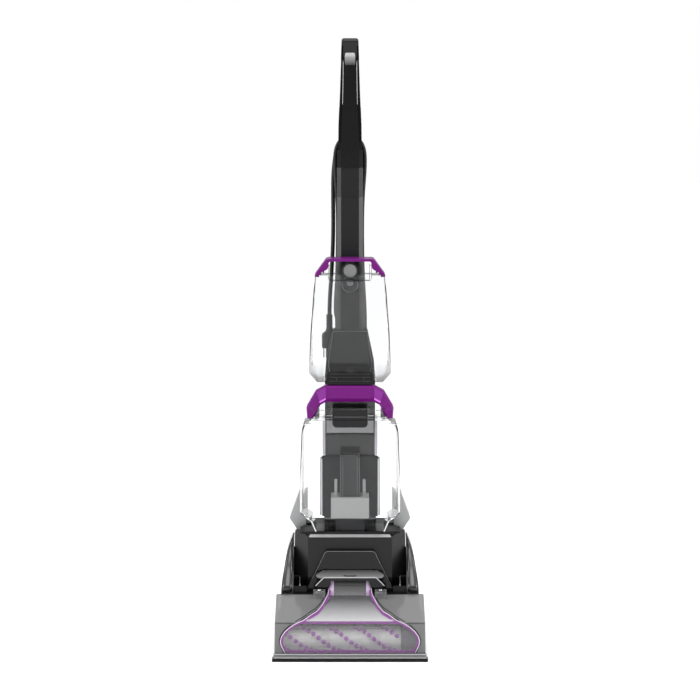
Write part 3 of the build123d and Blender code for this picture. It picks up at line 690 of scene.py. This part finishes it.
def make_nozzle_details():
    """Rims and edges of the lens and window, the two ringed spray marks and the screw towers: the lens rim
    and the window's outer and skirt edges are light beads of painted highlight, and a black bead outside the
    rim is painted shadow.
    """
    outline = [[(s * x, height_to_depth(LENS_OUTER, z) - 0.1, z) for x, z in RIM_HALF] for s in (1, -1)]
    add_lines("lens_rim_highlight", outline, 0.5, "nozzle_cover", "rim_highlight")
    shade = [(x, height_to_depth(COVER_FRONT, z) - 0.6, z) for x, z in inset_line(RIM_HALF, -1.7)]
    add_lines("lens_shadow", [[(s * x, y, z) for x, y, z in shade] for s in (1, -1)], 0.7, "nozzle_cover",
              "black_gloss")
    # Painted highlight: light beads along the window's outer edges and, below, its skirt edges.
    add_lines("window_edges", [[(s * 131, -55.2, 94), (s * 131, -145.3, 62.2), (s * 131, -164.3, 14.5)]
                               for s in (1, -1)], 0.5, "nozzle_cover", "edge_highlight_grey")
    folds = [[(s * 130, y, z), (s * inner, y, z)] for inner, y, z in ((98, -145.6, 62.3), (45, -55, 94.3))
             for s in (1, -1)]
    add_lines("window_folds", folds, 0.5, "nozzle_cover", "edge_dark")
    add_lines("skirt_edges", [across_middle([(132, -174.9, z)]) for z in (7.2, 13.4)], 0.45, "nozzle_cover",
              "edge_highlight_grey")

    rings = []
    depth = height_to_depth(LENS_OUTER, RING_Z) - 0.3
    (y_low, z_low), (y_high, z_high) = LENS_OUTER[:2]
    lean = (y_high - y_low) / (z_high - z_low)
    for s in (-1, 1):
        for radius in (8.6, 5.4):
            rings.append([(s * RING_X + a, depth + b * lean, RING_Z + b)
                          for a, b in arc_points((0, 0), radius, 0, 345, 23)])
    add_lines("lens_rings", rings, 0.3, "nozzle_cover", "mid_grey", closed=True)

    bm = bmesh.new()
    for s in (-1, 1):
        for radius, low, high in ((8.4, 95.5, 103.5), (4.2, 103.4, 106)):
            loft(bm, [[mm(s * SCREW_X + r * a, SCREW_Y + r * b, z) for a, b in circle(20)]
                      for r, z in ((radius, low), (radius, high - 0.6), (radius - 0.7, high))])
    add_solid("screw_towers", bm, "nozzle_cover", "clear", smooth=True)
    bm = bmesh.new()
    for s in (-1, 1):
        loft(bm, [[mm(s * SCREW_X + r * a, SCREW_Y + r * b, z) for a, b in circle(16)]
                  for r, z in ((2.8, 97), (2.8, 104.4), (2.2, 105))])
    add_solid("tower_screws", bm, "nozzle_cover", "steel", smooth=True)


def make_spine_outline():
    """Raised light line along the edges of the spine cover, a painted edge highlight."""
    line = mirrored([(-77, 98), (-46.5, 160)] + arc_points((-38, 157), 9.6, 158, 92, 6))
    add_lines("spine_edge_highlight", [[(x, -28.2, z) for x, z in line]], 0.32, "foot", "edge_light")


def make_hood_highlight():
    """Painted highlight: a bright strip on the chamfer along the hood's top edge."""
    bm = bmesh.new()
    front, back = [(-74, -17.5, 190.6), (74, -17.5, 190.6)], [(71, -13.1, 195), (-71, -13.1, 195)]
    slab(bm, front + back, [(x, y + 0.5, z - 0.5) for x, y, z in front + back])
    piece = add_solid("hood_highlight", bm, "upright", "edge_highlight_grey")
    add_bevel(piece, 0.2)


# Fender arm, bottom to top: height and outer edge.
ARM_LINE = [(99, 122), (110, 121.4), (120, 120.4), (130, 119), (140, 117.4), (150, 115), (160, 112.6),
            (170, 110), (178, 107.5)]
ARM_INNER = 102.4
ARM_PROBE_X = 104       # inside the arm at every height
CROWN_RISE = 0.55       # height of the crown over half its width


def arm_front():
    """The y of the fender's front face at each height of the arm, in millimetres."""
    node = NODES["fender_right"]
    surface = BVHTree.FromPolygons([node.matrix_world @ v.co for v in node.data.vertices],
                                   [p.vertices[:] for p in node.data.polygons])
    return [surface.ray_cast(mm(ARM_PROBE_X, -300, z), Vector((0, 1, 0)))[0].y / MM for z, _ in ARM_LINE]


def make_arm_crowns():
    """Rounded crowns that make the two fender arms catch a soft line of light."""
    bm = bmesh.new()
    for s in (-1, 1):
        rings = []
        for (z, outer), y in zip(ARM_LINE, arm_front()):
            centre, half = (outer + ARM_INNER) / 2, (outer - ARM_INNER) / 2 - 0.8
            crown = [(centre - half * a, y - half * CROWN_RISE * b)
                     for a, b in arc_points((0, 0), 1, 0, 180, 12)]
            rings.append([mm(s * x, v, z) for x, v in crown] + [mm(s * (centre + half), y + 1, z),
                                                                mm(s * (centre - half), y + 1, z)])
        loft(bm, rings)
    add_solid("arm_crowns", bm, "foot", "arm_gloss", smooth=True)
    bm = bmesh.new()
    for s in (-1, 1):
        front_slab(bm, [(s * 77, 88), (s * 101.8, 88), (s * 101.8, 107), (s * 77, 107)], -43, -40.5)
    add_solid("foot_webs", bm, "foot", "black_satin")


make_latch()
make_seal()
make_channel()
make_nozzle_details()
make_spine_outline()
make_hood_highlight()
make_arm_crowns()


# ---------------------------------------------------------------- recovery tank

def make_bail():
    """Faceted carrying bail, lofted from tip to tip."""
    stations = [((76, 407), (66.5, 407), -40, -26), ((77.5, 426), (58, 415), -40, -26),
                ((75.9, 431), (57.5, 422), -43, -22), ((60.7, 456.8), (52, 431.5), -44.5, -18),
                ((42.7, 466.5), (42.7, 436.5), -44.5, -18)]
    path = stations + [((-o[0], o[1]), (-i[0], i[1]), f, b) for o, i, f, b in reversed(stations)]
    rings = []
    for outer, inner, y_front, y_back in path:
        ring = []
        for u, y in ((0, y_front + 3.5), (0.1, y_front), (0.74, y_front), (1, y_front + 6), (1, y_back - 3),
                     (0.85, y_back), (0.12, y_back), (0, y_back - 3)):
            ring.append(mm(outer[0] + (inner[0] - outer[0]) * u, y, outer[1] + (inner[1] - outer[1]) * u))
        rings.append(ring)
    bm = bmesh.new()
    loft(bm, rings)
    piece = add_solid("bail_arch", bm, "tank_bail", "purple")
    add_bevel(piece, 0.8)
    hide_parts("tank_bail")
    # Painted light: thin slabs of lighter purple on the side facets where light falls, and pink painted
    # highlight strips along their lower chamfers.
    facets, glints = bmesh.new(), bmesh.new()
    for s in (-1, 1):
        front_slab(facets, [(s * x, z) for x, z in ((43, 463.3), (59.4, 454.4), (54, 438.5), (43, 444.5))],
                   -44.9, -44.2)
        glint = [(s * x, y, z) for x, y, z in ((43, -44.8, 444.2), (54.3, -44.8, 438), (53.4, -42.2, 435.2),
                                               (43, -42.2, 441))]
        slab(glints, glint, [(x, y + 0.5, z + 0.4) for x, y, z in glint])
    add_solid("bail_lit_facets", facets, "tank_bail", "purple_lit_facet")
    add_solid("bail_glints", glints, "tank_bail", "purple_glint")


def make_lid_latch():
    """Latch with a ribbed thumb row and a rounded lower lip."""
    bm = bmesh.new()
    front_slab(bm, mirrored([(30, 426), (31.4, 424), (31.4, 411)]), -49.6, -46.8)
    front_slab(bm, mirrored([(31.4, 411), (31.4, 404.5)]), -48.6, -46.8)
    front_slab(bm, mirrored([(31.4, 404.5), (31.2, 398), (29, 394), (25.5, 392.3)]), -50.6, -46.8)
    piece = add_solid("latch_tab", bm, "lid_latch", "charcoal")
    add_bevel(piece, 0.7)
    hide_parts("lid_latch")
    bm = bmesh.new()
    for k in range(23):
        x = -27.5 + 2.5 * k
        slab(bm, *[[(x + a, y, z) for a, z in ((-0.8, low), (0.8, low), (0.8, high), (-0.8, high))]
                   for y, low, high in ((-50.5, 409.6, 412), (-49.4, 409.2, 412.4))])
    add_solid("latch_ribs", bm, "lid_latch", "latch_grey")


SHELF_BEND = 4.0


def shelf_line(half, z, y, drop=5.0):
    """Shelf edge whose ends curl down, or up where drop is negative."""
    bend = min(SHELF_BEND, drop)
    left = [(-half, z - drop)] + [(x, h) for x, h in arc_points((-half + bend, z - bend), bend, 180, 90, 5)]
    return [(x, y, h) for x, h in left + [(-a, b) for a, b in reversed(left)]]


def make_tank_details():
    """What shows through the wall: the back wall's steps and rails, the baffle and the edges of the stack,
    with grey slabs painted as shade on the floor and in the notches.
    """
    shelves = [shelf_line(44, 368, 49.6), shelf_line(51, 328, 49), shelf_line(44, 306, 49.6, -5)]
    add_lines("tank_shelves", shelves, 1.1, "dirty_tank", "black_gloss")
    bm = bmesh.new()
    front_slab(bm, mirrored([(42.5, 402.5), (42.5, 370)]), 49.8, 51.2)
    add_solid("tank_baffle", bm, "dirty_tank", "frosted")
    bm = bmesh.new()
    front_slab(bm, mirrored([(47, 327.5), (49.6, 326.4), (50.6, 323.6), (50.6, 217)]), 50.4, 52)
    add_solid("tank_well", bm, "dirty_tank", "well_grey")
    bm = bmesh.new()
    for s in (-1, 1):
        front_slab(bm, [(s * 44.8, 330), (s * 49.6, 330), (s * 49.6, 402), (s * 44.8, 402)], 50, 51.4)
        front_slab(bm, [(s * 51.4, 219), (s * 54.4, 219), (s * 54.4, 326), (s * 51.4, 326)], 50, 51.4)
    add_solid("tank_rails", bm, "dirty_tank", "rail_grey")
    stack_lines = [[(x, -8.3, 226), (x, -8.3, 334)] for x in (-17, -13, 13, 17)]
    add_lines("stack_edges", stack_lines, 0.4, "dirty_tank", "mid_grey")
    # Painted shade: dark grey slabs on the tank floor at both sides.
    bm = bmesh.new()
    for s in (-1, 1):
        floor = [(s * 45.8, -36, 204.5), (s * 60, -36, 204.5), (s * 60, 50, 204.5), (s * 45.8, 50, 204.5)]
        slab(bm, floor, [(x, y, z + 0.9) for x, y, z in floor])
    add_solid("tank_floor_shade", bm, "dirty_tank", "stack_grey")
    # Painted shade: mid grey patches where the notches' recess lies in shade.
    bm = bmesh.new()
    for s in (-1, 1):
        front_slab(bm, [(s * 54.5, 406), (s * 62.5, 406), (s * 62.5, 423), (s * 54.5, 423)], -16, -14.5)
    add_solid("notch_shade", bm, "dirty_tank", "mid_grey")


def make_tank_seams():
    """Parting lines down the two sides of each tank."""
    dirty = [(72, 404), (72.5, 400), (82, 396), (86, 382), (89.7, 291), (89.8, 236), (70, 224), (62.4, 202)]
    add_lines("dirty_tank_seam", [[(s * x, 2, z) for x, z in dirty] for s in (-1, 1)], 0.45, "dirty_tank",
              "edge_dark")
    clean = [(62.2, 660), (70, 556), (72, 505), (72.2, 487), (58, 472.6)]
    add_lines("clean_tank_seam", [[(s * x, -2, z) for x, z in clean] for s in (-1, 1)], 0.45, "clean_tank",
              "edge_dark")


make_bail()
make_lid_latch()
make_tank_details()
make_tank_seams()


# ---------------------------------------------------------------- stem, block and clean tank

STEM_FRONT, BLOCK_FRONT = 41.7, 41.8
RING_CENTRE_Z, STUD_Z = 640, 643


def make_stem_details():
    """Outline of the mount block as a painted highlight line, and the ring and stud that the clean tank hangs
    on.
    """
    line = mirrored([(-36.5, 478), (-39, 500), (-31.6, 549)] + arc_points((-26, 550), 5.6, 172, 92, 5))
    add_lines("block_edge_highlight", [[(x, BLOCK_FRONT, z) for x, z in line]], 0.5, "upright", "edge_light")
    ring = [(a, BLOCK_FRONT, b) for a, b in arc_points((0, RING_CENTRE_Z), 14, 0, 350, 35)]
    add_lines("mount_ring", [ring], 0.6, "upright", "edge_light", closed=True)
    bm = bmesh.new()
    loft(bm, [[mm(r * a, y, STUD_Z + r * b) for a, b in circle(28)]
              for r, y in ((6.2, 42.5), (6.2, 41), (5.4, 40.4))])
    add_solid("mount_stud", bm, "upright", "light_grey", smooth=True)


make_stem_details()


BUTTON_FRONT, BUTTON_Z = -8.6, 668


def make_tank_cap():
    """Carrying arch over the clean tank, deep at its two shoulders, with the ring round its button."""
    half = [(39.5, 690), (43, 688.4), (62.2, 662), (62.2, 658.6), (57.4, 658), (54.6, 661.4), (51.4, 662.6),
            (49.4, 667.4), (45.6, 668.6), (41.6, 670.4), (38.8, 673.6), (37.6, 683), (35.6, 685.2)]
    bm = bmesh.new()
    front_slab(bm, mirrored(half), -39, 39)
    piece = add_solid("tank_cap", bm, "clean_tank", "purple")
    add_bevel(piece, 0.9)
    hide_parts("clean_tank_handle")
    rests = [[(s * x, -39.4, z), (s * x, -30, z)] for s in (-1, 1) for x, z in ((47, 667), (56, 659.6))]
    add_lines("cap_rests", rests, 1.9, "clean_tank", "black_gloss")
    for name, radius, bead, material in (("button_ring", 13.2, 0.8, "mid_grey"),
                                         ("button_groove", 15.6, 0.45, "edge_dark")):
        ring = [(a, BUTTON_FRONT, b) for a, b in arc_points((0, BUTTON_Z), radius, 0, 350, 35)]
        add_lines(name, [ring], bead, "clean_tank", material, closed=True)
    add_lines("pocket_sill", [across_middle([(36, -38.6, 653.4), (34.8, -38.7, 652.2)])], 0.6, "clean_tank",
              "black_gloss")
    sides = [[(s * x, -38.6, 654.5), (s * x, -38.6, 682)] for s in (-1, 1) for x in (34.4, 38)]
    add_lines("pocket_edges", sides, 0.4, "clean_tank", "edge_dark")


def make_seat_front():
    """Front wall of the cradle that the clean tank stands in, with its fine moulded lines."""
    bm = bmesh.new()
    front_slab(bm, mirrored([(38.5, 490), (41, 487.5), (41, 468.4), (39.5, 467.6)]), -42.4, -40.4)
    ledge = [(-39, -41), (39, -41), (39, -14), (-39, -14)]
    slab(bm, [(x, y, 467.8) for x, y in ledge], [(x, y, 470.4) for x, y in ledge])
    piece = add_solid("seat_front", bm, "upright", "black_gloss")
    add_bevel(piece, 0.5)
    add_lines("seat_lines", [across_middle([(36, -42.6, z)]) for z in (486.5, 481, 474)] +
              [[(s * 24, -42.6, 474), (s * 24, -42.6, 481)] for s in (-1, 1)], 0.35, "upright", "edge_dark")


def make_handle_details():
    """Painted highlight at the top of the front arm, and the lit edges below it as painted highlight beads.
    """
    bm = bmesh.new()
    rows = [(1031, 27.8, 8.6), (1036, 27.7, 9.2), (1046, 27.6, 9.2), (1050.5, 30, 8.8), (1052.8, 31.3, 7.2)]
    loft(bm, [[mm(-w, y, z), mm(w, y, z), mm(w, y + 1, z), mm(-w, y + 1, z)] for z, y, w in rows])
    piece = add_solid("grip_highlight", bm, "upright", "grip_highlight")
    add_bevel(piece, 0.4)
    edge = [(12.1, 28.6, 1040), (12.2, 28.5, 1020), (12.6, 29.2, 990), (13.1, 30.2, 962)]
    add_lines("arm_edges", [[(s * x, y, z) for x, y, z in edge] for s in (-1, 1)], 0.38, "upright",
              "edge_highlight_grey")
    add_lines("stem_seam", [across_middle([(21, STEM_FRONT, 797)])], 0.4, "upright", "black_gloss")


make_tank_cap()
make_seat_front()
make_handle_details()
